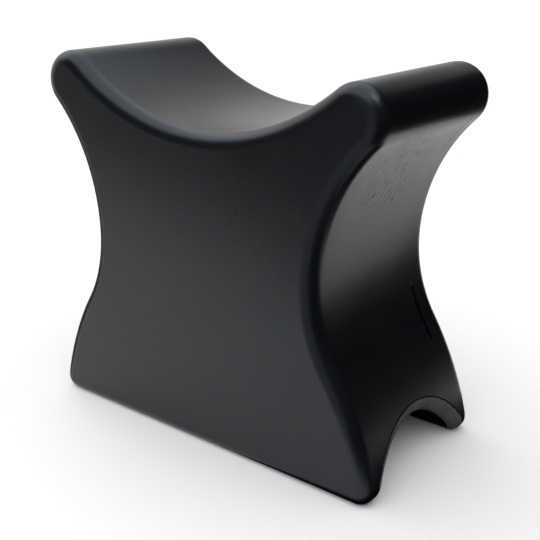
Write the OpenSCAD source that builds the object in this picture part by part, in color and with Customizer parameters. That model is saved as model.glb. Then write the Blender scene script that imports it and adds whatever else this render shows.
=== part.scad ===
// Saddle rest cushion: a moulded foam block with a concave saddle on top, waisted
// sides and an arched underside, in a closed skin around a soft foam core.
// X runs across the two horns, Y through the depth, Z up from the soles.

/* [Front outline] */
// Width across the two horns
width = 250; // [230:1:270]
// Height of the horns above the soles
height = 236.5; // [225:0.5:250]
// Radius of the horn tips
horn_r = 19; // [16:0.5:24]
// Height of the lowest point of the saddle
saddle_z = 199.5; // [190:0.5:208]
// Width of the waist
waist_w = 172.5; // [160:0.5:190]
// Height of the waist
waist_z = 124; // [116:1:134]
// Radius of the hollow side below the waist
low_side_r = 91; // [80:1:110]
// Width that the flanks of the base aim at, before their corners are rounded
base_w = 267.5; // [256:0.5:276]
// Radius of the rounded flanks of the base
flank_r = 213; // [180:1:240]
// Radius of the two bottom corners, seen from the front
corner_r = 10; // [9.5:0.5:14]

/* [Depth and edges] */
// Depth from the front face to the back face
depth = 125; // [118:1:140]
// Radius of the rounded edges
edge_r = 9; // [7:0.5:9]
// Radius of the front and back edges of the soles
sole_edge_r = 6; // [5:0.5:7]
// Distance of the mould's parting plane from the back face
parting = 20.5; // [16:0.5:24]

/* [Arch under the base] */
// Height of the crown of the arch
arch_h = 30; // [26:0.5:34]
// Radius of the rounded inner edges of the two legs
leg_r = 9.5; // [8.5:0.5:12]
// Radius of the rounded ends of the arch, where it runs out through the flanks
arch_edge_r = 7.5; // [5:0.5:8]
// Width of the flat sole of each leg
sole_w = 2.5; // [2:0.5:5]

/* [Foam] */
// Thickness of the closed skin
skin_t = 3; // [2:0.5:4]

/* [Smoothness] */
// Longest facet along the outline
facet = 8; // [6:1:12]
// Facets across each rounded edge
edge_steps = 5; // [3:1:6]

/* [Hidden] */

skin_colour = "#3b3d41";
sole_colour = "#46484b";
foam_colour = "#b9b4a6";
widest_step = 10;                  // degrees between neighbouring points on an arc
parting_y = depth / 2 - parting;
fan_centre = [0, 120];             // sees the whole outline, so the faces fan out from it
tiny = 1e-4;

// Centres and radii of the arcs in the outline, from the tangency between neighbours
horn_x = width / 2 - horn_r;
horn_z = height - horn_r;
waist_x = waist_w / 2;
saddle_dip = saddle_z - horn_z;
saddle_r = (pow(horn_x, 2) + pow(saddle_dip, 2) - pow(horn_r, 2)) / (2 * (horn_r - saddle_dip));
saddle_cz = saddle_z + saddle_r;
high_side_r = (pow(waist_x - horn_x, 2) + pow(waist_z - horn_z, 2) - pow(horn_r, 2))
    / (2 * (horn_r - waist_x + horn_x));
high_side_cx = waist_x + high_side_r;
low_side_cx = waist_x + low_side_r;
flank_cx = base_w / 2 - flank_r;
flank_cz = waist_z - sqrt(pow(low_side_r + flank_r, 2) - pow(low_side_cx - flank_cx, 2));
corner_cx = flank_cx + sqrt(pow(flank_r - corner_r, 2) - pow(corner_r - flank_cz, 2));

// Angles at which the arcs meet
corner_end = atan2(corner_r - flank_cz, corner_cx - flank_cx);
flank_end = atan2(waist_z - flank_cz, low_side_cx - flank_cx);
horn_start = atan2(waist_z - horn_z, high_side_cx - horn_x);
horn_end = atan2(saddle_cz - horn_z, -horn_x);

// The arch: one crown arc and a leg arc on each side of it
leg_y = depth / 2 - sole_edge_r - sole_w;
crown_r = (pow(leg_y, 2) + pow(arch_h, 2) - 2 * arch_h * leg_r) / (2 * arch_h);
crown_cz = arch_h - crown_r;
crown_end = atan2(leg_r - crown_cz, leg_y);

function steps(r, sweep) = ceil(max(r * abs(sweep) * PI / 180 / facet, abs(sweep) / widest_step));
function rest(list) = [for (i = [1:len(list) - 1]) list[i]];
function mix(a, b, s) = a + (b - a) * s;
function unit(v) = v / norm(v);

// Points of an arc as [x, z, normal x, normal z]; side is 1 where the block bulges, -1 where it's hollow
function arc(cx, cz, r, from, to, side) = let (n = steps(r, to - from))
    [for (i = [0:n]) let (a = mix(from, to, i / n), c = cos(a), s = sin(a))
        [cx + r * c, cz + r * s, side * c, side * s]];

// Half of the arch from its crown down to one sole, as the centres of a ball of the radius of its
// rounded ends that rolls inside the foam: [y, z, normal y, normal z]
function ball_arch() = let (
        over = crown_r + arch_edge_r,
        under = leg_r - arch_edge_r,
        n = steps(crown_r, 90 - crown_end) + 3,
        m = steps(leg_r, 90 - crown_end))
    concat(
        [for (i = [0:n]) let (a = mix(90, crown_end, sin(90 * i / n)))
            [over * cos(a), crown_cz + over * sin(a), -cos(a), -sin(a)]],
        [for (i = [1:m]) let (a = mix(crown_end + 180, 270, i / m))
            [leg_y + under * cos(a), leg_r + under * sin(a), cos(a), sin(a)]]);

// The same ball inside the flank at height z: [x, z, normal x, normal z]
function ball_flank(z) = let (
        corner_top = corner_r + (corner_r - arch_edge_r) * sin(corner_end),
        low = z < corner_top,
        cx = low ? corner_cx : flank_cx,
        cz = low ? corner_r : flank_cz,
        r = (low ? corner_r : flank_r) - arch_edge_r,
        x = cx + sqrt(max(0, pow(r, 2) - pow(z - cz, 2))))
    [x, z, (x - cx) / r, (z - cz) / r];

ARCH = ball_arch();
FLANK = [for (p = ARCH) ball_flank(p[1])];
crown_row = len(ARCH) - 1;         // outline point above the crown of the arch

// Right half of the outline: from the sole up the side, round the horn and down to the saddle's low point
crown_angle = asin((ARCH[0][1] - flank_cz) / (flank_r - arch_edge_r));
RIGHT = concat(
    [for (j = [crown_row:-1:0])
        let (f = FLANK[j], r = arch_edge_r) [f[0] + r * f[2], f[1] + r * f[3], f[2], f[3]]],
    rest(arc(flank_cx, flank_cz, flank_r, crown_angle, flank_end, 1)),
    rest(arc(low_side_cx, waist_z, low_side_r, flank_end + 180, 180, -1)),
    rest(arc(high_side_cx, waist_z, high_side_r, 180, horn_start + 180, -1)),
    rest(arc(horn_x, horn_z, horn_r, horn_start, horn_end, 1)),
    rest(arc(0, saddle_cz, saddle_r, horn_end - 180, -90, -1)));
OUTLINE = concat(RIGHT, [for (i = [len(RIGHT) - 2:-1:0]) let (p = RIGHT[i]) [-p[0], p[1], -p[2], p[3]]]);
rows = len(OUTLINE);
last_row = rows - 1;
function next(i) = (i + 1) % rows;

// Radius of the front and back edge at an outline point: smaller along the sole, full from the corner up
function edge_at(p) = mix(sole_edge_r, edge_r, p[3] < 0 && p[1] < corner_r ? 1 + p[3] : 1);
// Half the length of the arch's cut in the side wall at outline point i
function cut_at(i) = let (j = crown_row - min(i, last_row - i)) j < 0 ? 0 : ARCH[j][0];
// Where the back region begins there: at the parting plane, or at the arch if that reaches further back
function back_start(i) = max(parting_y, cut_at(i));
// First outline point at which the parting plane is clear of the arch
clear_row = len([for (i = [0:crown_row]) if (cut_at(i) >= parting_y) 1]);

// A point on the rounded front edge (way -1) or back edge (way 1): angle 0 is on the face, 90 on the wall
function edge_point(p, way, angle, t) = let (
        r = edge_at(p),
        out = (r - t) * sin(angle) - r)
    [p[0] + p[2] * out, way * (depth / 2 - r + (r - t) * cos(angle)), p[1] + p[3] * out];
function wall_point(p, y, t) = [p[0] - p[2] * t, y, p[1] - p[3] * t];

// Front region: rounded front edge, then the wall up to the arch's cut and on to the parting line
front_wide = edge_steps + 4;
function front_points(t) = concat(
    [for (i = [0:last_row]) let (p = OUTLINE[i]) each concat(
        [for (k = [0:edge_steps]) edge_point(p, -1, 90 * k / edge_steps, t)],
        [for (y = [-cut_at(i), cut_at(i), back_start(i)]) wall_point(p, y, t)])],
    [[fan_centre[0], -depth / 2 + t, fan_centre[1]]]);
// Two triangles between places a and b of one row and the same places of the next row
function strip(a, b, c, d) = [[a, b, d], [a, d, c]];
front_faces = concat(
    [for (i = [0:last_row]) [rows * front_wide, i * front_wide, next(i) * front_wide]],
    [for (i = [0:last_row], k = [0:edge_steps - 1])
        let (a = i * front_wide + k, c = next(i) * front_wide + k)
        each strip(a, a + 1, c, c + 1)],
    [for (i = [0:last_row - 1], k = [edge_steps, edge_steps + 2])
        let (a = i * front_wide + k, c = a + front_wide)
        each strip(a, a + 1, c, c + 1)]);
front_rim = concat(
    [0 * front_wide + edge_steps],
    [for (i = [0:crown_row]) i * front_wide + edge_steps + 1],
    [for (i = [crown_row:-1:clear_row - 1]) i * front_wide + edge_steps + 2],
    [for (i = [clear_row:last_row - clear_row]) i * front_wide + edge_steps + 3],
    [for (i = [last_row - clear_row + 1:-1:last_row - crown_row]) i * front_wide + edge_steps + 2],
    [for (i = [last_row - crown_row:last_row]) i * front_wide + edge_steps + 1],
    [last_row * front_wide + edge_steps]);

// Back region: the last of the wall, the rounded back edge and the back face
back_wide = edge_steps + 2;
function back_points(t) = concat(
    [for (i = [0:last_row]) let (p = OUTLINE[i]) each concat(
        [wall_point(p, back_start(i), t)],
        [for (k = [edge_steps:-1:0]) edge_point(p, 1, 90 * k / edge_steps, t)])],
    [[fan_centre[0], depth / 2 - t, fan_centre[1]]]);
back_faces = concat(
    [for (i = [0:last_row])
        [rows * back_wide, next(i) * back_wide + edge_steps + 1, i * back_wide + edge_steps + 1]],
    [for (i = [0:last_row], k = [1:edge_steps])
        let (a = i * back_wide + k, c = next(i) * back_wide + k)
        each strip(a, a + 1, c, c + 1)],
    [for (i = [0:last_row - 1])
        let (a = i * back_wide) each strip(a, a + 1, a + back_wide, a + back_wide + 1)]);
back_rim = concat([for (i = [last_row:-1:0]) i * back_wide], [1, last_row * back_wide + 1]);

// Underside region: the arch with its rounded ends, and the flat soles beside it
sole_row = [depth / 2 - sole_edge_r, arch_edge_r, 0, -1];
HALF = concat(ARCH, [sole_row]);
HALF_FLANK = concat(FLANK, [FLANK[crown_row]]);
sole_end = crown_row + 1;
arch_wide = 2 * edge_steps + 2;
function arch_row(j, way, t) = let (
        a = HALF[j],
        f = HALF_FLANK[j],
        down = [0, way * a[2], a[3]],
        out = [f[2], 0, f[3]],
        bend = [for (k = [0:edge_steps]) (arch_edge_r - t) * turn(down, out, k / edge_steps)])
    concat(
        [for (k = [edge_steps:-1:0]) [-f[0] - bend[k][0], way * a[0] + bend[k][1], a[1] + bend[k][2]]],
        [for (k = [0:edge_steps]) [f[0] + bend[k][0], way * a[0] + bend[k][1], a[1] + bend[k][2]]]);
// Direction at share s of the turn from unit vector a to unit vector b
function turn(a, b, s) = let (w = acos(min(1, max(-1, a * b))))
    w < 0.01 ? a : unit(a * sin((1 - s) * w) + b * sin(s * w));
function arch_points(t) = concat(
    [for (j = [sole_end:-1:1]) each arch_row(j, -1, t)],
    [for (j = [0:sole_end]) each arch_row(j, 1, t)]);
arch_faces = [for (j = [0:2 * sole_end - 1], k = [0:arch_wide - 2]) let (a = j * arch_wide + k)
    each strip(a, a + arch_wide, a + 1, a + arch_wide + 1)];
arch_rim = concat(
    [for (j = [0:2 * sole_end]) j * arch_wide],
    [for (k = [1:arch_wide - 1]) 2 * sole_end * arch_wide + k],
    [for (j = [2 * sole_end - 1:-1:0]) j * arch_wide + arch_wide - 1],
    [for (k = [arch_wide - 2:-1:1]) k]);

// Faces without the slivers whose corners fall together, turned the way polyhedron() wants them
function apart(p, q) = norm(p - q) > tiny;
function sound(points, faces) = [for (f = faces) let (a = points[f[0]], b = points[f[1]], c = points[f[2]])
    if (apart(a, b) && apart(b, c) && apart(c, a)) [f[2], f[1], f[0]]];
function shifted(faces, n) = [for (f = faces) [f[0] + n, f[1] + n, f[2] + n]];

// A closed skin between the outer surface of a region and the same surface skin_t further in
module skin(outer, inner, faces, rim) {
    n = len(outer);
    points = concat(outer, inner);
    lining = [for (f = faces) [f[2] + n, f[1] + n, f[0] + n]];
    edges = [for (k = [0:len(rim) - 1]) let (a = rim[k], b = rim[(k + 1) % len(rim)])
        each [[b, a, a + n], [b, a + n, b + n]]];
    polyhedron(points, sound(points, concat(faces, lining, edges)));
}

// Skin of the front face, the saddle, the horns and the sides, up to the mould's parting plane
module front_skin() {
    color(skin_colour)
        skin(front_points(0), front_points(skin_t), front_faces, front_rim);
}

// Skin of the back face, its rounded edge and the wall behind the mould's parting plane
module back_skin() {
    color(skin_colour)
        skin(back_points(0), back_points(skin_t), back_faces, back_rim);
}

// Skin of the arch through the underside, its rounded ends and the soles of the two legs
module arch_skin() {
    color(sole_colour)
        skin(arch_points(0), arch_points(skin_t), arch_faces, arch_rim);
}

// Soft foam that fills the three skins
module foam_core() {
    front = front_points(skin_t);
    back = back_points(skin_t);
    points = concat(front, back, arch_points(skin_t));
    faces = concat(
        front_faces,
        shifted(back_faces, len(front)),
        shifted(arch_faces, len(front) + len(back)));
    color(foam_colour)
        polyhedron(points, sound(points, faces));
}

front_skin();
back_skin();
arch_skin();
foam_core();
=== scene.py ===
"""Looks of a saddle rest cushion: one moulded block of black integral-skin foam with a concave
saddle between two round horns, waisted sides and an arched underside.

Everything is in metres, in the frame of the CAD model: X across the horns, Y through the depth,
Z up from the soles. The outer surface is what a ball of the edge radius leaves when it rolls
inside the block, so every point is a ball centre plus the radius along a normal.
"""

import math

import bpy
import numpy as np
from mathutils import Matrix, Vector, noise


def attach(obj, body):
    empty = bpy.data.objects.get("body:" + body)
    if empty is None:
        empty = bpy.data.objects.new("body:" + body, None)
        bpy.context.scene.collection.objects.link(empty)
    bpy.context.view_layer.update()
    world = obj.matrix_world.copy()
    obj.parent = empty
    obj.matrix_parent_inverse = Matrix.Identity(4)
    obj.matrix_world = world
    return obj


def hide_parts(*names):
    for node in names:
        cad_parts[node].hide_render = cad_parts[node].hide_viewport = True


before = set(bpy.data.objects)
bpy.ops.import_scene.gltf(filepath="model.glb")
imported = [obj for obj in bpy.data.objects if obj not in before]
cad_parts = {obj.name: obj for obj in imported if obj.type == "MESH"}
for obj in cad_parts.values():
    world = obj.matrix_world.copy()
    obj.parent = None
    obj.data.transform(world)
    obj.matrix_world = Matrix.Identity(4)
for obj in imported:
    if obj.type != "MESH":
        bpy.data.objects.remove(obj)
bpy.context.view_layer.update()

# Driving dimensions of the front outline, seen along Y
WIDTH = 0.250
HEIGHT = 0.2365
HORN_R = 0.019
SADDLE_Z = 0.1995
WAIST_W = 0.1725
WAIST_Z = 0.124
LOW_SIDE_R = 0.091
BASE_W = 0.2675
FLANK_R = 0.213
CORNER_R = 0.010

# Depth, edges, parting plane and arch
DEPTH = 0.125
EDGE_R = 0.009
SOLE_EDGE_R = 0.006
PARTING_Y = 0.042
ARCH_H = 0.030
LEG_R = 0.0095
ARCH_EDGE_R = 0.0075
SOLE_W = 0.0025
SKIN_T = 0.003

# How finely the surface is divided
ROW_STEP = 0.0015
EDGE_STEPS = 12
FACE_RINGS = 30
WALL_COLUMNS = 22
BACK_COLUMNS = 14
ARCH_COLUMNS = 48
FLASH_STEP = 0.0005
SCREEN_COLUMNS = 60

# Where the rings of a face start, in x and z
FACE_CENTRE = np.array([0, 0.120])

# Points that agree to 5 micrometres are welded into one
WELD_SCALE = 2e5

# The hair's breadth between the foam and the skins
CORE_GAP = 0.00005

# Heights between which the parting line is torn open on the right
TEAR_HEIGHTS = 0.098, 0.056

# The camera: azimuth, elevation and roll in degrees, its distance, the offsets of its aim from the
# middle of the object, and its lens in millimetres
CAMERA_ANGLES = 37.65, 19.80, 0.37
CAMERA_DISTANCE = 0.5892
CAMERA_RIGHT, CAMERA_UP = 0.0074, -0.0184
CAMERA_LENS = 60.67


# ---------------------------------------------------------------- outline and arch
def arc(cx, cz, r, start, end, side):
    """Points [x, z, normal x, normal z] of an arc; side is 1 where it bulges, -1 where it is hollow."""
    n = max(2, math.ceil(r * abs(end - start) / ROW_STEP))
    a = np.linspace(start, end, n + 1)
    return np.stack([cx + r * np.cos(a), cz + r * np.sin(a), side * np.cos(a), side * np.sin(a)], 1)


horn_x, horn_z = WIDTH / 2 - HORN_R, HEIGHT - HORN_R
waist_x = WAIST_W / 2
saddle_dip = SADDLE_Z - horn_z
saddle_r = (horn_x**2 + saddle_dip**2 - HORN_R**2) / (2 * (HORN_R - saddle_dip))
saddle_cz = SADDLE_Z + saddle_r
high_side_reach = (waist_x - horn_x) ** 2 + (WAIST_Z - horn_z) ** 2 - HORN_R**2
high_side_r = high_side_reach / (2 * (HORN_R - waist_x + horn_x))
high_side_cx = waist_x + high_side_r
low_side_cx = waist_x + LOW_SIDE_R
flank_cx = BASE_W / 2 - FLANK_R
flank_cz = WAIST_Z - math.sqrt((LOW_SIDE_R + FLANK_R) ** 2 - (low_side_cx - flank_cx) ** 2)
corner_cx = flank_cx + math.sqrt((FLANK_R - CORNER_R) ** 2 - (CORNER_R - flank_cz) ** 2)
corner_end = math.atan2(CORNER_R - flank_cz, corner_cx - flank_cx)
flank_end = math.atan2(WAIST_Z - flank_cz, low_side_cx - flank_cx)
horn_start = math.atan2(WAIST_Z - horn_z, high_side_cx - horn_x)
horn_end = math.atan2(saddle_cz - horn_z, -horn_x)

leg_y = DEPTH / 2 - SOLE_EDGE_R - SOLE_W
crown_r = (leg_y**2 + ARCH_H**2 - 2 * ARCH_H * LEG_R) / (2 * ARCH_H)
crown_cz = ARCH_H - crown_r
crown_end = math.atan2(LEG_R - crown_cz, leg_y)


def ball_arch():
    """Centres of the ball above half of the arch, crown first: [y, z, normal y, normal z]."""
    crown, leg = 44, 14
    a = math.pi / 2 + (crown_end - math.pi / 2) * np.sin(np.linspace(0, math.pi / 2, crown + 1))
    r = crown_r + ARCH_EDGE_R
    top = np.stack([r * np.cos(a), crown_cz + r * np.sin(a), -np.cos(a), -np.sin(a)], 1)
    a = np.linspace(crown_end + math.pi, 1.5 * math.pi, leg + 1)[1:]
    r = LEG_R - ARCH_EDGE_R
    low = np.stack([leg_y + r * np.cos(a), LEG_R + r * np.sin(a), np.cos(a), np.sin(a)], 1)
    return np.concatenate([top, low])


def ball_flank(z):
    """The ball's place inside the flank at height z: [x, z, normal x, normal z]."""
    corner_top = CORNER_R + (CORNER_R - ARCH_EDGE_R) * math.sin(corner_end)
    low = z < corner_top
    cx, cz = np.where(low, corner_cx, flank_cx), np.where(low, CORNER_R, flank_cz)
    r = np.where(low, CORNER_R, FLANK_R) - ARCH_EDGE_R
    x = cx + np.sqrt(np.maximum(0, r**2 - (z - cz) ** 2))
    return np.stack([x, z, (x - cx) / r, (z - cz) / r], 1)


ARCH = ball_arch()
FLANK = ball_flank(ARCH[:, 1])
crown_angle = math.asin((ARCH[0, 1] - flank_cz) / (FLANK_R - ARCH_EDGE_R))
side_foot = FLANK[::-1].copy()
side_foot[:, :2] += ARCH_EDGE_R * side_foot[:, 2:]
RIGHT = np.concatenate([
    side_foot,
    arc(flank_cx, flank_cz, FLANK_R, crown_angle, flank_end, 1)[1:],
    arc(low_side_cx, WAIST_Z, LOW_SIDE_R, flank_end + math.pi, math.pi, -1)[1:],
    arc(high_side_cx, WAIST_Z, high_side_r, math.pi, horn_start + math.pi, -1)[1:],
    arc(horn_x, horn_z, HORN_R, horn_start, horn_end, 1)[1:],
    arc(0, saddle_cz, saddle_r, horn_end - math.pi, -math.pi / 2, -1)[1:],
])
OUTLINE = np.concatenate([RIGHT, RIGHT[-2::-1] * [-1, 1, -1, 1]])
ALONG = np.concatenate([[0], np.cumsum(np.hypot(*np.diff(OUTLINE[:, :2], axis=0).T))])
ALONG = ALONG[-1] / 2 - ALONG  # from the middle of the saddle, positive on the right
CUT = np.zeros(len(OUTLINE))
CUT[: len(ARCH)] = ARCH[::-1, 0]
CUT[-len(ARCH):] = ARCH[:, 0]
turned_down = (OUTLINE[:, 3] < 0) & (OUTLINE[:, 1] < CORNER_R)
EDGE = SOLE_EDGE_R + (EDGE_R - SOLE_EDGE_R) * np.where(turned_down, 1 + OUTLINE[:, 3], 1)

# The bottom closes the outline from the left sole edge back to the right one
bottom_x = np.linspace(-corner_cx, corner_cx, ARCH_COLUMNS + 1)[1:-1]
BOTTOM = np.stack([bottom_x, 0 * bottom_x, 0 * bottom_x, 0 * bottom_x - 1], 1)
LOOP = np.concatenate([OUTLINE, BOTTOM])
LOOP_EDGE = np.concatenate([EDGE, np.full(len(BOTTOM), SOLE_EDGE_R)])
LOOP_ALONG = np.concatenate([ALONG, ALONG[-1] - corner_cx - bottom_x])
low_right = (OUTLINE[:, 0] > 0) & (OUTLINE[:, 1] < WAIST_Z)
TEAR_START, TEAR_END = (np.interp(z, OUTLINE[low_right, 1], ALONG[low_right]) for z in TEAR_HEIGHTS)


# ---------------------------------------------------------------- grids of the outer surface
def closer(n, power):
    """Shares from 0 to 1 that crowd together towards 1."""
    return 1 - (1 - np.linspace(0, 1, n + 1)) ** power


def grid(rows, columns):
    return {key: np.zeros((rows, columns, 3)) for key in ("point", "normal", "wrap")}


def rounded_face(way):
    """A face with its rounded edge: rings from its centre out to the wall; way is -1 in front, 1 behind."""
    rings = closer(FACE_RINGS, 1.6)
    angles = np.linspace(0, math.pi / 2, EDGE_STEPS + 1)[1:]
    g = grid(len(LOOP), len(rings) + len(angles))
    x, z, nx, nz = LOOP.T
    flat = np.stack([x - nx * LOOP_EDGE, z - nz * LOOP_EDGE], 1)
    for c, s in enumerate(rings):
        at = FACE_CENTRE + (flat - FACE_CENTRE) * s
        g["point"][:, c] = np.stack([at[:, 0], np.full(len(at), way * DEPTH / 2), at[:, 1]], 1)
        g["normal"][:, c] = [0, way, 0]
    for c, a in enumerate(angles, len(rings)):
        out = LOOP_EDGE * (math.sin(a) - 1)
        y = way * (DEPTH / 2 - LOOP_EDGE * (1 - math.cos(a)))
        g["point"][:, c] = np.stack([x + nx * out, y, z + nz * out], 1)
        outward = np.full(len(x), way * math.cos(a))
        g["normal"][:, c] = np.stack([nx * math.sin(a), outward, nz * math.sin(a)], 1)
    g["wrap"][..., 0] = LOOP_ALONG[:, None]
    g["wrap"][..., 1] = g["point"][..., 1]
    return g


def wall(start, end, shares):
    """The wall between two values of y at each outline row."""
    g = grid(len(OUTLINE), len(shares))
    x, z, nx, nz = OUTLINE.T
    for c, s in enumerate(shares):
        y = start + (end - start) * s
        g["point"][:, c] = np.stack([x, y, z], 1)
        g["normal"][:, c] = np.stack([nx, 0 * nx, nz], 1)
        g["wrap"][:, c, 0] = ALONG
        g["wrap"][:, c, 1] = y
    return g


def turn(a, b, s):
    """Directions at share s of the turn from unit vectors a to unit vectors b."""
    w = np.arccos(np.clip((a * b).sum(1), -1, 1))[:, None]
    still = w < 1e-4
    w = np.where(still, 1, w)
    return np.where(still, a, (a * np.sin((1 - s) * w) + b * np.sin(s * w)) / np.sin(w))


def arch():
    """The arch with its rounded ends, and the soles beside it."""
    sole = [DEPTH / 2 - SOLE_EDGE_R, ARCH_EDGE_R, 0, -1]
    half, flank = np.vstack([ARCH, sole]), np.vstack([FLANK, FLANK[-1]])
    ball = np.vstack([half[:0:-1] * [-1, 1, -1, 1], half])
    flank = np.vstack([flank[:0:-1], flank])
    down = np.stack([0 * ball[:, 2], ball[:, 2], ball[:, 3]], 1)
    g = grid(len(ball), 2 * EDGE_STEPS + ARCH_COLUMNS + 1)
    places = [(-1, s) for s in np.linspace(1, 0, EDGE_STEPS + 1)]
    places += [(x, 0) for x in np.linspace(-1, 1, ARCH_COLUMNS + 1)[1:-1]]
    places += [(1, s) for s in np.linspace(0, 1, EDGE_STEPS + 1)]
    for c, (across, s) in enumerate(places):
        out = np.stack([math.copysign(1, across) * flank[:, 2], 0 * ball[:, 0], flank[:, 3]], 1)
        way = turn(down, out, s)
        centre = np.stack([across * flank[:, 0], ball[:, 0], ball[:, 1]], 1)
        g["point"][:, c] = centre + ARCH_EDGE_R * way
        g["normal"][:, c] = way
        g["wrap"][:, c] = np.stack([across * flank[:, 0], ball[:, 0], np.full(len(ball), s)], 1)
    return g


# ---------------------------------------------------------------- relief of the moulded skin
def fractal(p, wavelength, octaves=2):
    """Soft noise between about -1 and 1 at points p."""
    total, size, share = np.zeros(len(p)), wavelength, 1.0
    for _ in range(octaves):
        total += share * np.array([noise.noise(Vector(q / size)) for q in p])
        size, share = size / 2, share / 2
    return total


def fade(x, low, high):
    """0 below low, 1 above high, smooth between."""
    t = np.clip((x - low) / (high - low), 0, 1)
    return t * t * (3 - 2 * t)


def parting_groove(along):
    """Depth and half width of the parting groove along the outline: a hairline, clearest over the
    horns and torn open low on the right."""
    rough = fractal(np.stack([along, 0 * along + 0.3, 0 * along], 1), 0.0035, 3)
    tear = fade(along, TEAR_START, TEAR_START + 0.003) * (1 - fade(along, TEAR_END - 0.012, TEAR_END))
    on_horn = fade(np.abs(along), 0.100, 0.125) * (1 - fade(np.abs(along), 0.160, 0.190))
    depth = (0.00024 + 0.00008 * rough) * (0.12 + 0.88 * on_horn) + tear * (0.0012 + 0.0005 * rough)
    width = 0.00038 + 0.00006 * rough + tear * (0.00035 + 0.0003 * rough)
    return depth, width


def relief(point, normal, wrap):
    """How far each point of the outer surface moves along its normal."""
    move = 0.00012 * fractal(point, 0.060) * fade(point[:, 2], 0.0, 0.004)
    near = (np.abs(point[:, 1] - PARTING_Y) < 0.004) & (np.abs(normal[:, 1]) < 0.6)
    depth, width = parting_groove(wrap[near, 0])
    off = point[near, 1] - PARTING_Y
    move[near] -= depth * np.exp(-((off / width) ** 2))
    return move


def marks(point, normal, wrap):
    """Where the surface is torn or scuffed: [torn line, flow streaks, swirls], each from 0 to 1. The torn
    line also carries the painted shade of the crack.
    """
    along, y = wrap[:, 0], point[:, 1]
    side = (np.abs(normal[:, 1]) < 0.6) & (normal[:, 0] > 0)
    torn = fade(along, TEAR_START, TEAR_START + 0.002) * (1 - fade(along, TEAR_END - 0.012, TEAR_END))
    ragged = fractal(np.stack([along, 0 * along, 0 * along + 1.9], 1), 0.004, 3)
    branch = TEAR_START + 0.006, TEAR_START + 0.016
    beside = PARTING_Y + 0.0012 + 0.0022 * fade(along, branch[0] - 0.003, branch[1])
    second = np.exp(-(((y - beside) / 0.0007) ** 4)) * fade(along, branch[0], branch[0] + 0.002)
    second = second * (1 - fade(along, *branch))
    # This mask darkens the colour along the crack as painted shade, and dulls and roughens the skin there.
    line = np.exp(-(((y - PARTING_Y) / (0.0016 + 0.0005 * ragged)) ** 6)) * torn
    line = np.maximum(line, second) * side
    streaks = fade(along, 0.142, 0.165) * (1 - fade(along, 0.200, 0.230))
    streaks = streaks * fade(y, -0.042, -0.022) * (1 - fade(y, 0.004, 0.036)) * side
    height = point[:, 2]
    swirls = fade(height, 0.050, 0.068) * (1 - fade(height, 0.082, 0.100))
    swirls = swirls * (1 - fade(np.abs(y), 0.010, 0.030)) * side
    return np.stack([line, streaks, swirls], 1)


# ---------------------------------------------------------------- meshes
def weld(grids):
    """One sheet from grids that share their borders: its points, normals and wrap coordinates, and faces
    that look outward."""
    parts, faces, first = {"point": [], "normal": [], "wrap": []}, [], 0
    for g, closed in grids:
        rows, columns = g["point"].shape[:2]
        for k in parts:
            parts[k].append(g[k].reshape(-1, 3))
        i = first + np.arange(rows * columns).reshape(rows, columns)
        above, below = (i, np.roll(i, -1, 0)) if closed else (i[:-1], i[1:])
        faces.append(np.stack([above[:, :-1], below[:, :-1], below[:, 1:], above[:, 1:]], -1).reshape(-1, 4))
        first += rows * columns
    sheet = {k: np.concatenate(v) for k, v in parts.items()}
    cells = np.round(sheet["point"] * WELD_SCALE).astype(int)
    _, keep, place = np.unique(cells, axis=0, return_index=True, return_inverse=True)
    sheet = {k: v[keep] for k, v in sheet.items()}
    faces = place.reshape(-1)[np.concatenate(faces)]
    a, b, c, d = (sheet["point"][faces[:, k]] for k in range(4))
    inward = (np.cross(c - a, d - b) * sheet["normal"][faces].sum(1)).sum(1) < 0
    faces[inward] = faces[inward, ::-1]
    faces = [list(dict.fromkeys(f)) for f in faces.tolist()]
    return sheet, [f for f in faces if len(f) > 2]


def mesh_object(name, points, faces, layers, flat_faces=0, sharp_edges=()):
    """An object from points and faces, smooth but for its last flat_faces faces and its sharp edges."""
    mesh = bpy.data.meshes.new(name)
    mesh.from_pydata(points.tolist(), [], faces)
    smooth = np.ones(len(faces), bool)
    smooth[len(faces) - flat_faces:] = False
    mesh.polygons.foreach_set("use_smooth", smooth)
    for key, values in layers.items():
        layer = mesh.attributes.new(key, "FLOAT_VECTOR", "POINT")
        layer.data.foreach_set("vector", values.astype(np.float32).ravel())
    if sharp_edges:
        mark = mesh.attributes.new("sharp_edge", "BOOLEAN", "EDGE")
        mark.data.foreach_set("value", [tuple(sorted(e.vertices)) in sharp_edges for e in mesh.edges])
    mesh.update()
    obj = bpy.data.objects.new(name, mesh)
    bpy.context.scene.collection.objects.link(obj)
    return obj


def skin(name, grids):
    """A closed skin: the outer sheet, the same sheet further in, and the strip that joins their borders."""
    sheet, faces = weld(grids)
    outer = sheet["point"] + sheet["normal"] * relief(**sheet)[:, None]
    inner = sheet["point"] - sheet["normal"] * SKIN_T
    n = len(outer)
    used = {(a, b) for f in faces for a, b in zip(f, f[1:] + f[:1])}
    border = [(a, b) for a, b in used if (b, a) not in used]
    lining = [[v + n for v in reversed(f)] for f in faces]
    rim = [[b, a, a + n, b + n] for a, b in border]
    sharp = {tuple(sorted((a + k, b + k))) for a, b in border for k in (0, n)}
    layers = {"wrap": np.tile(sheet["wrap"], (2, 1)), "marks": np.tile(marks(**sheet), (2, 1))}
    return mesh_object(name, np.concatenate([outer, inner]), faces + lining + rim, layers, len(rim), sharp)


def core(name, grids):
    """The foam inside the skins, a hair's breadth clear of them."""
    sheet, faces = weld(grids)
    points = sheet["point"] - sheet["normal"] * (SKIN_T + CORE_GAP)
    return mesh_object(name, points, faces, {"wrap": sheet["wrap"]})


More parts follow.
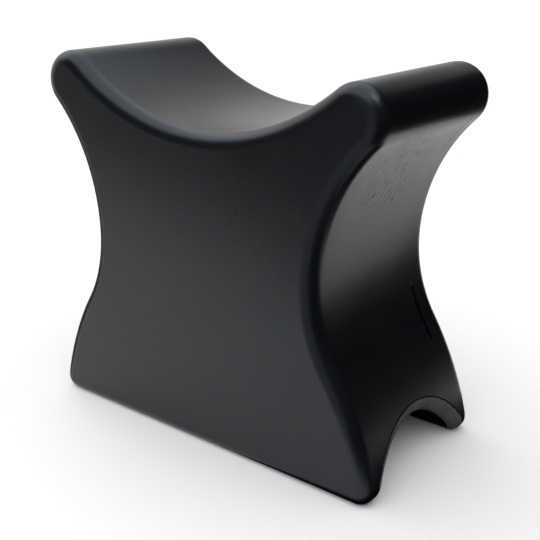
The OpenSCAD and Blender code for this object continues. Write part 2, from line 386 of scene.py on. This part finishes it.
def flash(name, way):
    """The ragged lip that trimming leaves along an end of the arch: the right (way 1) or the left (-1)."""
    ball, flank = (np.vstack([a[:0:-1] * m, a]) for a, m in ((ARCH, [-1, 1, -1, 1]), (FLANK, 1)))
    length = np.concatenate([[0], np.cumsum(np.hypot(*np.diff(ball[:, :2], axis=0).T))])
    at = np.arange(0.003, length[-1] - 0.003, FLASH_STEP)
    y, down_y, down_z = (np.interp(at, length, ball[:, k]) for k in (0, 2, 3))
    x, z, out_x, out_z = (np.interp(at, length, flank[:, k]) for k in range(4))
    out, down = np.stack([out_x, 0 * at, out_z], 1), np.stack([0 * at, down_y, down_z], 1)
    centre = np.stack([x, y, z], 1)
    seed = 4.7 * way
    ragged = 0.5 + 0.5 * fractal(np.stack([at, 0 * at + seed, 0 * at], 1), 0.006, 3)
    frayed = np.maximum(0, fractal(np.stack([at, 0 * at, 0 * at + seed], 1), 0.0016, 2))
    ends = fade(at, 0.003, 0.012) * (1 - fade(at, length[-1] - 0.012, length[-1] - 0.003))
    reach = (0.0002 + 0.0005 * ragged + 0.0026 * frayed**1.5) * (0.3 + 0.7 * ends)
    lip = []
    frayed_share = reach / ARCH_EDGE_R * 0.64
    section = [(-0.08, -0.0004), (-0.03, 0.00022), (0.0, 0.00034), (frayed_share, 0.00018), (0.10, -0.0004)]
    for share, raised in section:
        angle = share * math.pi / 2
        toward = out * np.cos(angle)[..., None] + down * np.sin(angle)[..., None]
        lip.append(centre + toward * (ARCH_EDGE_R + raised))
    lip = np.stack(lip, 1) * [way, 1, 1]
    n, m = lip.shape[:2]
    around = [(k, (k + 1) % m) for k in range(m)]
    rows = [(i * m, i * m + m) for i in range(n - 1)]
    faces = [[i + k, i + j, below + j, below + k] for i, below in rows for k, j in around]
    faces += [list(range(m))[::-1], [(n - 1) * m + k for k in range(m)]]
    if way < 0:
        faces = [f[::-1] for f in faces]
    points = lip.reshape(-1, 3)
    return mesh_object(name, points, faces, {"wrap": points, "marks": 0 * points}, flat_faces=2)


# ---------------------------------------------------------------- materials
def node(tree, kind, **values):
    """A new node with its properties and inputs set; inputs are given by name with _ for a space."""
    made = tree.nodes.new(kind)
    for key, value in values.items():
        if hasattr(made, key):
            setattr(made, key, value)
        else:
            made.inputs[key.replace("_", " ")].default_value = value
    return made


def noise_node(tree, coordinates, wavelength, detail=3, roughness=0.5):
    made = node(tree, "ShaderNodeTexNoise", Scale=1 / wavelength, Detail=detail, Roughness=roughness)
    tree.links.new(coordinates, made.inputs["Vector"])
    return made.outputs["Fac"]


def scaled(tree, value, from_low, from_high, to_low, to_high, smooth=False):
    made = node(tree, "ShaderNodeMapRange", From_Min=from_low, From_Max=from_high)
    made.inputs["To Min"].default_value = to_low
    made.inputs["To Max"].default_value = to_high
    if smooth:
        made.interpolation_type = "SMOOTHSTEP"
    tree.links.new(value, made.inputs["Value"])
    return made.outputs["Result"]


def attribute(tree, name):
    return node(tree, "ShaderNodeAttribute", attribute_name=name).outputs["Vector"]


def math_node(tree, operation, *values):
    made = node(tree, "ShaderNodeMath", operation=operation)
    for socket, value in zip(made.inputs, values):
        if isinstance(value, (int, float)):
            socket.default_value = value
        else:
            tree.links.new(value, socket)
    return made.outputs[0]


def mixed(tree, share, first, second):
    """A colour between first and second; each is a colour or an output of another node."""
    made = node(tree, "ShaderNodeMix", data_type="RGBA")
    tree.links.new(share, made.inputs[0])
    for socket, value in ((made.inputs[6], first), (made.inputs[7], second)):
        if isinstance(value, tuple):
            socket.default_value = (*value, 1)
        else:
            tree.links.new(value, socket)
    return made.outputs[2]


def new_material(name):
    material = bpy.data.materials.new(name)
    material.use_nodes = True
    return material, material.node_tree, material.node_tree.nodes["Principled BSDF"]


def streaked(tree, stretch):
    """Wrap coordinates stretched along the flow of the foam, which runs slightly askew."""
    made = node(tree, "ShaderNodeMapping", vector_type="TEXTURE")
    made.inputs["Rotation"].default_value = (0, 0, math.radians(-18))
    made.inputs["Scale"].default_value = (stretch, 1, 1)
    tree.links.new(attribute(tree, "wrap"), made.inputs["Vector"])
    return made.outputs[0]


def moulded_skin():
    """Black moulded polyurethane skin: satin, faintly cloudy, finely grained, with flow streaks, faint
    swirls, a torn stretch of the parting line and a few specks of dust. Along the torn stretch the colour
    is darkened as painted shade of the crack; the duller, rougher skin there is real."""
    material, tree, shader = new_material("moulded_skin")
    place = node(tree, "ShaderNodeTexCoord").outputs["Object"]
    masks = node(tree, "ShaderNodeSeparateXYZ")
    tree.links.new(attribute(tree, "marks"), masks.inputs[0])
    torn, streaky, swirly = masks.outputs
    clouds = scaled(tree, noise_node(tree, place, 0.030, 2, 0.5), 0.15, 0.85, 0, 1)
    colour = mixed(tree, clouds, (0.0020, 0.0024, 0.0034), (0.0034, 0.0038, 0.0048))

    lengthwise = streaked(tree, 3.5)
    dashes = scaled(tree, noise_node(tree, lengthwise, 0.0013, 1, 0.4), 0.61, 0.69, 0, 0.45)
    dashes = math_node(tree, "MULTIPLY", dashes, streaky)
    colour = mixed(tree, dashes, colour, (0.0012, 0.0012, 0.0014))
    bright = scaled(tree, noise_node(tree, lengthwise, 0.0017, 2, 0.5), 0.30, 0.26, 0, 0.35)
    bright = math_node(tree, "MULTIPLY", bright, streaky)

    bend = math_node(tree, "SUBTRACT", noise_node(tree, place, 0.011, 1, 0.4), 0.5)
    curls = scaled(tree, math_node(tree, "ABSOLUTE", bend), 0.007, 0.002, 0, 0.35)
    curls = math_node(tree, "MULTIPLY", curls, swirly)
    patches = scaled(tree, noise_node(tree, place, 0.009, 1), 0.48, 0.56, 0, 1)
    curls = math_node(tree, "MULTIPLY", curls, patches)
    pale = math_node(tree, "MAXIMUM", bright, curls)

    cells = node(tree, "ShaderNodeTexVoronoi", Scale=95.0)
    tree.links.new(place, cells.inputs["Vector"])
    dust = scaled(tree, cells.outputs["Distance"], 0.045, 0.025, 0, 0.8)
    pale = math_node(tree, "MAXIMUM", pale, dust)
    colour = mixed(tree, pale, colour, (0.020, 0.020, 0.021))
    # Painted shade: along the torn line the colour is darkened to stand in for the shade inside the crack.
    colour = mixed(tree, torn, colour, (0.0004, 0.0004, 0.0004))
    tree.links.new(colour, shader.inputs["Base Color"])

    rough = scaled(tree, noise_node(tree, place, 0.022, 2, 0.5), 0.15, 0.85, 0.28, 0.33)
    scuffed = math_node(tree, "MAXIMUM", dashes, torn)
    rough = math_node(tree, "MULTIPLY_ADD", scuffed, 0.5, rough)
    tree.links.new(rough, shader.inputs["Roughness"])
    dull = math_node(tree, "MAXIMUM", torn, math_node(tree, "MULTIPLY", dashes, 0.7))
    shine = scaled(tree, dull, 0, 1, 0.5, 0)
    tree.links.new(shine, shader.inputs["Specular IOR Level"])
    shader.inputs["Specular Tint"].default_value = (0.88, 0.95, 1.0, 1)

    brushed = math_node(tree, "MULTIPLY", noise_node(tree, streaked(tree, 9), 0.0016, 2, 0.6), streaky)
    dents = node(tree, "ShaderNodeBump", Strength=0.6, Distance=0.0002, invert=True)
    tree.links.new(math_node(tree, "MULTIPLY_ADD", brushed, 2.2, dashes), dents.inputs["Height"])
    grain = node(tree, "ShaderNodeBump", Strength=0.38, Distance=0.0002)
    tree.links.new(noise_node(tree, place, 0.0010, 2, 0.5), grain.inputs["Height"])
    tree.links.new(dents.outputs["Normal"], grain.inputs["Normal"])
    tree.links.new(grain.outputs["Normal"], shader.inputs["Normal"])
    return material


def arch_skin_painted_light():
    """The arch's duller skin: matt, with a fine dusty grain. Its colour is painted near-black inside the arch
    as painted shade and lighter grey on the rounded ends as painted light, with a pale painted highlight
    along the inner edge of each end's band.
    """
    material, tree, shader = new_material("arch_skin_painted_light")
    place = node(tree, "ShaderNodeTexCoord").outputs["Object"]
    turned = node(tree, "ShaderNodeSeparateXYZ")
    tree.links.new(attribute(tree, "wrap"), turned.inputs[0])
    turned = turned.outputs[2]
    clouds = scaled(tree, noise_node(tree, place, 0.012, 4, 0.6), 0.35, 0.65, 0, 1)
    # Painted light and shade: light grey on the rounded ends and near-black inside, standing in for the lit
    # end bands and the shade under the arch.
    ends = mixed(tree, clouds, (0.050, 0.050, 0.051), (0.068, 0.068, 0.069))
    inside = mixed(tree, clouds, (0.0016, 0.0016, 0.0018), (0.0030, 0.0030, 0.0032))
    colour = mixed(tree, scaled(tree, turned, 0.08, 0.30, 0, 1, smooth=True), inside, ends)
    # Painted highlight: a pale strip along the inner edge of each end band.
    rising, falling = scaled(tree, turned, 0.04, 0.10, 0, 0.8), scaled(tree, turned, 0.13, 0.22, 0, 0.8)
    painted_rim_highlight = math_node(tree, "SUBTRACT", rising, falling)
    colour = mixed(tree, painted_rim_highlight, colour, (0.100, 0.096, 0.088))
    tree.links.new(colour, shader.inputs["Base Color"])
    tree.links.new(scaled(tree, clouds, 0, 1, 0.62, 0.75), shader.inputs["Roughness"])
    shader.inputs["Specular IOR Level"].default_value = 0.25
    grain = node(tree, "ShaderNodeBump", Strength=0.25, Distance=0.0003)
    tree.links.new(noise_node(tree, place, 0.0011, 4, 0.65), grain.inputs["Height"])
    tree.links.new(grain.outputs["Normal"], shader.inputs["Normal"])
    return material


def flash_rubber():
    """Thin torn lip of the same rubber, matt black."""
    material, tree, shader = new_material("flash_rubber")
    place = node(tree, "ShaderNodeTexCoord").outputs["Object"]
    torn = noise_node(tree, place, 0.0012, 3, 0.6)
    greyer = scaled(tree, torn, 0.4, 0.6, 0, 1)
    colour = mixed(tree, greyer, (0.0010, 0.0010, 0.0011), (0.0035, 0.0035, 0.0037))
    tree.links.new(colour, shader.inputs["Base Color"])
    tree.links.new(scaled(tree, torn, 0.3, 0.7, 0.65, 0.9), shader.inputs["Roughness"])
    shader.inputs["Specular IOR Level"].default_value = 0.15
    rough = node(tree, "ShaderNodeBump", Strength=0.5, Distance=0.0002)
    tree.links.new(torn, rough.inputs["Height"])
    tree.links.new(rough.outputs["Normal"], shader.inputs["Normal"])
    return material


def open_foam():
    """Open-cell foam: matt grey with small round pores, painted darker towards their middles as painted shade
    in the pits.
    """
    material, tree, shader = new_material("open_foam")
    place = node(tree, "ShaderNodeTexCoord").outputs["Object"]
    cells = node(tree, "ShaderNodeTexVoronoi", Scale=1 / 0.0016)
    tree.links.new(place, cells.inputs["Vector"])
    # Painted shade: the colour darkens towards each pore's middle, where the bump makes a pit.
    pores = scaled(tree, cells.outputs["Distance"], 0.2, 0.6, 0, 1)
    colour = mixed(tree, pores, (0.030, 0.030, 0.031), (0.085, 0.085, 0.083))
    tree.links.new(colour, shader.inputs["Base Color"])
    rough = scaled(tree, noise_node(tree, place, 0.004, 3), 0.3, 0.7, 0.8, 0.95)
    tree.links.new(rough, shader.inputs["Roughness"])
    pits = node(tree, "ShaderNodeBump", Strength=0.8, Distance=0.0008)
    tree.links.new(cells.outputs["Distance"], pits.inputs["Height"])
    tree.links.new(pits.outputs["Normal"], shader.inputs["Normal"])
    return material


# ---------------------------------------------------------------- stage
def camera():
    """The camera, from its direction, distance and small framing offsets."""
    azimuth, elevation, roll = (math.radians(a) for a in CAMERA_ANGLES)
    level = math.cos(elevation)
    back = Vector((math.sin(azimuth) * level, -math.cos(azimuth) * level, math.sin(elevation)))
    right = Vector((math.cos(azimuth), math.sin(azimuth), 0))
    up = back.cross(right)
    target = Vector((0, 0, HEIGHT / 2)) + CAMERA_RIGHT * right + CAMERA_UP * up
    data = bpy.data.cameras.new("camera")
    data.lens, data.sensor_width, data.clip_start = CAMERA_LENS, 36, 0.01
    made = bpy.data.objects.new("camera", data)
    made.location = target + CAMERA_DISTANCE * back
    tilted_right = math.cos(roll) * right + math.sin(roll) * up
    tilted_up = math.cos(roll) * up - math.sin(roll) * right
    made.rotation_euler = Matrix((tilted_right, tilted_up, back)).transposed().to_euler()
    bpy.context.scene.collection.objects.link(made)
    bpy.context.scene.camera = made


def plain(name, colour, roughness=0.9):
    material = bpy.data.materials.new(name)
    material.use_nodes = True
    shader = material.node_tree.nodes["Principled BSDF"]
    shader.inputs["Base Color"].default_value = (*colour, 1)
    shader.inputs["Roughness"].default_value = roughness
    shader.inputs["Specular IOR Level"].default_value = 0
    return material


def floor():
    size = 8.0
    mesh = bpy.data.meshes.new("floor")
    corners = [(-size, -size, 0), (size, -size, 0), (size, size, 0), (-size, size, 0)]
    mesh.from_pydata(corners, [], [(0, 1, 2, 3)])
    made = bpy.data.objects.new("floor", mesh)
    mesh.materials.append(plain("floor_paint", (0.92, 0.89, 0.845)))
    bpy.context.scene.collection.objects.link(made)


def flag(name, shade, points, faces, glow=0.0):
    """A cloth or a glowing card that only mirror light sees."""
    mesh = bpy.data.meshes.new(name)
    mesh.from_pydata(points, [], faces)
    mesh.materials.append(plain(name + "_cloth", (shade, shade, shade)))
    shader = mesh.materials[0].node_tree.nodes["Principled BSDF"]
    shader.inputs["Emission Color"].default_value = (0.93, 0.98, 1.0, 1)
    shader.inputs["Emission Strength"].default_value = glow
    made = bpy.data.objects.new(name, mesh)
    bpy.context.scene.collection.objects.link(made)
    made.visible_camera = made.visible_shadow = made.visible_diffuse = False


def rectangle(x, y, z):
    """Corners of an upright or a level rectangle, from its spans in x, y and z."""
    if y[0] == y[1]:
        return [(x[0], y[0], z[0]), (x[1], y[0], z[0]), (x[1], y[0], z[1]), (x[0], y[0], z[1])]
    return [(x[0], y[0], z[0]), (x[1], y[0], z[0]), (x[1], y[1], z[0]), (x[0], y[1], z[0])]


def sector(angle, radius, z):
    """A point of the stage by its angle from +Y, clockwise in degrees, and its distance from the Z axis."""
    return radius * math.sin(math.radians(angle)), radius * math.cos(math.radians(angle)), z


def flags():
    """A curved dark screen on the right and in front, whose foot comes in towards the object where the
    surroundings are darkest and, close in on the right and in front, stands in as a painted shadow of the
    floor; a dark sheet under the object and beside its right leg, a painted shadow of the floor seen in
    reflections; a grey mat behind it on the left; and two bright cards, high on the right and low behind,
    for the glints on the horns."""
    # Painted shadow: where the foot comes within about a quarter metre of the object, the dark screen stands
    # in for the shadow on the floor.
    foot_angles = [12, 40, 72, 90, 120, 165, 190, 206, 219, 230, 238]
    foot_radii = [0.52, 0.43, 0.36, 0.25, 0.21, 0.22, 0.30, 0.42, 0.60, 0.85, 1.10]
    for name, shade, first, last, top in (
        ("dark_screen", 0.003, 12, 140, 1.5),
        ("dim_screen", 0.28, 140, 198, 0.85),
        ("front_screen", 0.003, 198, 238, 0.85),
    ):
        angles = np.linspace(first, last, SCREEN_COLUMNS)
        foot = np.interp(angles, foot_angles, foot_radii)
        rings = [(foot, 0.002), (np.maximum(foot, 0.75), 0.10), (np.maximum(foot, 0.9), top)]
        points = [sector(a, r, z) for radius, z in rings for a, r in zip(angles, radius)]
        n = SCREEN_COLUMNS
        starts = [k * n + i for k in range(2) for i in range(n - 1)]
        faces = [(i, i + 1, i + n + 1, i + n) for i in starts]
        flag(name, shade, points, faces)
    # Painted shadow: a dark sheet on the floor under the object and beside its right leg, seen only in
    # reflections.
    mat = [(-0.10, -0.052), (0.22, -0.075), (0.26, 0.08), (0.21, 0.155)]
    mat += [(0.13, 0.145), (0.10, 0.10), (-0.10, 0.052)]
    flag("painted_floor_shadow", 0.003, [(x, y, 0.0006) for x, y in mat], [tuple(range(len(mat)))])
    mat = [(-0.10, -0.045, 0.0008)]
    mat += [sector(a, 0.85, 0.0008) for a in range(248, 337, 8)]
    mat += [(0.115, 0.055, 0.0008), (-0.10, 0.055, 0.0008)]
    flag("grey_mat", 0.05, mat, [tuple(range(len(mat)))])
    card = rectangle((0.34, 0.70), (-0.30, 0.02), (0.95, 0.95))
    flag("top_card", 0.0, card, [(0, 1, 2, 3)], 4.5)
    card = rectangle((-0.28, 0.28), (0.95, 0.95), (0.52, 0.80))
    flag("back_card", 0.0, card, [(0, 1, 2, 3)], 0.45)


def lights():
    sun = bpy.data.lights.new("soft_top", "SUN")
    sun.energy, sun.angle = 3.7, math.radians(120)
    sun.color = (0.94, 0.985, 1.06)
    made = bpy.data.objects.new("soft_top", sun)
    made.rotation_euler = Vector((-0.06, -0.30, 0.95)).to_track_quat("Z", "Y").to_euler()
    bpy.context.scene.collection.objects.link(made)


def surroundings():
    """Soft light from the left and the back, fading to dark on the right; the camera sees plain white."""
    world = bpy.data.worlds.new("surroundings")
    world.use_nodes = True
    tree = world.node_tree
    background = tree.nodes["Background"]
    direction = node(tree, "ShaderNodeTexCoord").outputs["Generated"]
    toward = node(tree, "ShaderNodeVectorMath", operation="DOT_PRODUCT")
    toward.inputs[1].default_value = (-0.9, 0.43, 0.0)
    tree.links.new(direction, toward.inputs[0])
    strength = scaled(tree, toward.outputs["Value"], 0.35, 1.0, 0.005, 1.1, smooth=True)
    seen = node(tree, "ShaderNodeMix", data_type="FLOAT")
    seen.inputs[3].default_value = 1.0
    tree.links.new(node(tree, "ShaderNodeLightPath").outputs["Is Camera Ray"], seen.inputs[0])
    tree.links.new(strength, seen.inputs[2])
    tree.links.new(seen.outputs[0], background.inputs["Strength"])
    background.inputs["Color"].default_value = (1.04, 1, 0.97, 1)
    bpy.context.scene.world = world
    bpy.context.scene.view_settings.view_transform = "Standard"


# ---------------------------------------------------------------- build
def build():
    wide = np.linspace(0, 1, WALL_COLUMNS + 1)
    to_line = closer(WALL_COLUMNS, 2.2)
    walls = DEPTH / 2 - EDGE
    parting = np.maximum(PARTING_Y, CUT)
    front = skin("front_skin_surface", [
        (rounded_face(-1), True),
        (wall(-walls, -CUT, wide), False),
        (wall(CUT, parting, to_line), False),
    ])
    back = skin("back_skin_surface", [
        (rounded_face(1), True),
        (wall(walls, parting, closer(BACK_COLUMNS, 2.2)), False),
    ])
    under = skin("arch_skin_surface", [(arch(), False)])
    foam = core("foam_core_body", [
        (rounded_face(-1), True),
        (wall(-walls, -CUT, wide), False),
        (wall(CUT, walls, wide), False),
        (rounded_face(1), True),
        (arch(), False),
    ])
    return front, back, under, foam


camera()
floor()
flags()
lights()
surroundings()
front, back, under, foam = build()
black, grey, inner = moulded_skin(), arch_skin_painted_light(), open_foam()
for piece, node_name, slot, material in (
    (front, "front_skin", "skin", black),
    (back, "back_skin", "skin", black),
    (under, "arch_skin", "arch_skin", grey),
    (foam, "foam_core", "foam", inner),
):
    piece.data.materials.append(material)
    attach(piece, "root")
    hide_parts(node_name)

lip_rubber = flash_rubber()
for name, way in (("arch_flash_right", 1), ("arch_flash_left", -1)):
    lip = flash(name, way)
    lip.data.materials.append(lip_rubber)
    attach(lip, "root")
